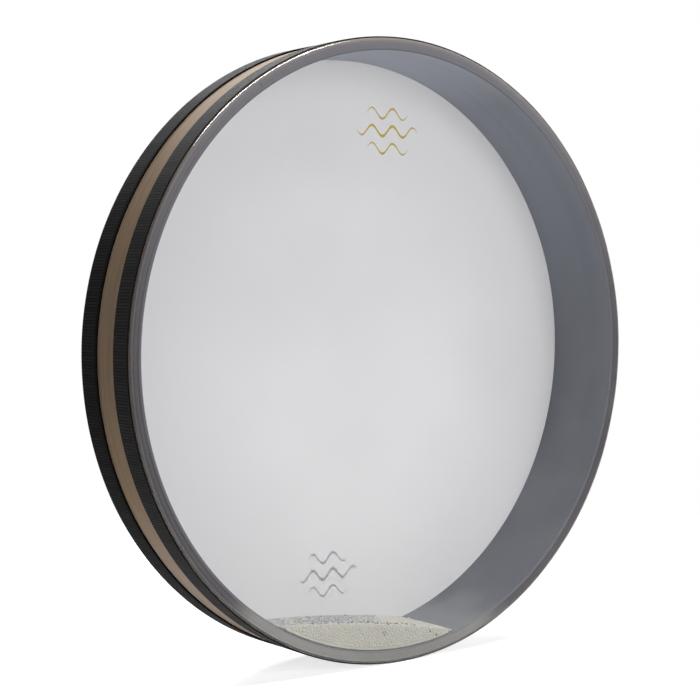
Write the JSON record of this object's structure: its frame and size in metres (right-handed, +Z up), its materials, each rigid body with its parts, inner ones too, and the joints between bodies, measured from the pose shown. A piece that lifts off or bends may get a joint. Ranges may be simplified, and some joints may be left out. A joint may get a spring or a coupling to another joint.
{
  "type": "ocean drum",
  "caption": "Shallow round wooden drum with a clear front head, a white rear head, black tape over both edges and loose beads that roll round inside.",
  "frame": {"origin": "lowest point of the rim, midway between the heads: the drum stands on its rim", "axes": "+Z up, +Y along the drum's axis from the clear front head to the white rear head, +X to the right as seen from the front"},
  "size_m": [0.5106, 0.0736, 0.5107],
  "materials": {
    "natural_wood": "satin clear coat",
    "core_wood": "raw edges",
    "grey_wood": "satin grey paint",
    "glue": "dried glue",
    "clear_film": "clear glossy film",
    "white_film": "smooth satin film",
    "black_tape": "ribbed woven tape",
    "beads": "smooth cream"
  },
  "bodies": {
    "drum": {"shell_outer_ply": "natural_wood", "shell_core_ply_1": "core_wood", "shell_core_ply_2": "core_wood", "shell_core_ply_3": "core_wood", "shell_inner_ply": "grey_wood", "front_glue": "glue", "rear_glue": "glue", "front_head": "clear_film", "rear_head": "white_film", "front_tape": "black_tape", "rear_tape": "black_tape"},
    "beads": {"bead_heap": "beads", "front_beads": "beads", "middle_beads": "beads", "rear_beads": "beads"}
  },
  "joints": [
    {"name": "beads_roll", "type": "hinge", "parent": "drum", "child": "beads", "pos_m": [0, 0, 0.25534], "axis": [0, 1, 0], "continuous": true}
  ]
}
